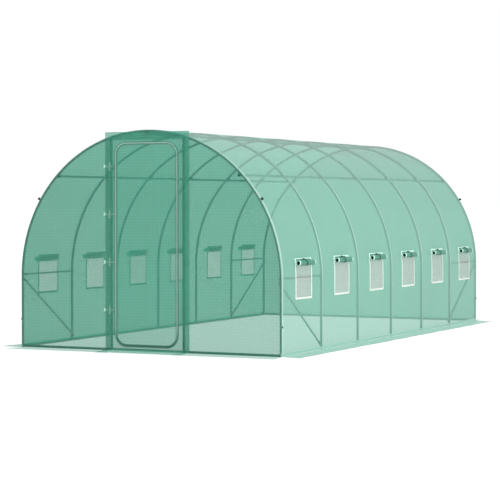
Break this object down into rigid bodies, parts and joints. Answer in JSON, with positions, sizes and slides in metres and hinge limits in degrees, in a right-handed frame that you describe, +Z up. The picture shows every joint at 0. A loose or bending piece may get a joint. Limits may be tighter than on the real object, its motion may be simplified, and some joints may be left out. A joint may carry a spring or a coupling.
{
  "type": "polytunnel greenhouse",
  "caption": "Walk-in polytunnel greenhouse: round-topped steel tube hoops under a green film cover, with roll-up net windows along both sides and a hinged front door.",
  "frame": {"origin": "middle of the footprint, on the ground", "axes": "the door end faces -Y, the tunnel runs along Y, +X is to the right of the door seen from outside, +Z is up"},
  "size_m": [3.42, 6.52, 2.25],
  "materials": {
    "galvanised_steel": "galvanised",
    "green_film": "woven grid film, translucent",
    "door_film": "woven grid film, denser",
    "white_tape": "matt woven tape",
    "insect_net": "fine mesh",
    "rolled_film": "woven film, rolled",
    "dark_strap": "webbing",
    "black_plastic": "moulded"
  },
  "bodies": {
    "tunnel": {"hoop_1": "galvanised_steel", "hoop_2": "galvanised_steel", "hoop_3": "galvanised_steel", "hoop_4": "galvanised_steel", "hoop_5": "galvanised_steel", "hoop_6": "galvanised_steel", "hoop_7": "galvanised_steel", "ridge_purlin": "galvanised_steel", "left_purlin": "galvanised_steel", "right_purlin": "galvanised_steel", "purlin_clips": "galvanised_steel", "corner_rails": "galvanised_steel", "corner_diagonals": "galvanised_steel", "left_base_rail": "galvanised_steel", "right_base_rail": "galvanised_steel", "front_sill": "galvanised_steel", "rear_sill": "galvanised_steel", "door_posts": "galvanised_steel", "left_wall": "green_film", "right_wall": "green_film", "roof_right_lower": "green_film", "roof_right_middle": "green_film", "roof_right_upper": "green_film", "roof_left_upper": "green_film", "roof_left_middle": "green_film", "roof_left_lower": "green_film", "front_panel_left": "green_film", "front_panel_right": "green_film", "front_panel_head": "green_film", "rear_panel": "green_film", "left_skirt": "green_film", "right_skirt": "green_film", "front_skirt": "green_film", "rear_skirt": "green_film", "window_nets": "insect_net", "window_tapes": "white_tape", "window_rolls": "rolled_film", "roll_ties": "dark_strap", "cover_fasteners": "black_plastic", "hinge_leaves": "galvanised_steel", "hinge_side_strip": "door_film"},
    "front_door": {"door_frame": "galvanised_steel", "door_sheet": "door_film", "door_ground_flap": "door_film"}
  },
  "joints": [
    {"name": "front_door_hinge", "type": "hinge", "parent": "tunnel", "child": "front_door", "pos_m": [-0.424, -3.0083, 1.09], "axis": [0, 0, -1], "range_deg": [0, 110]}
  ]
}
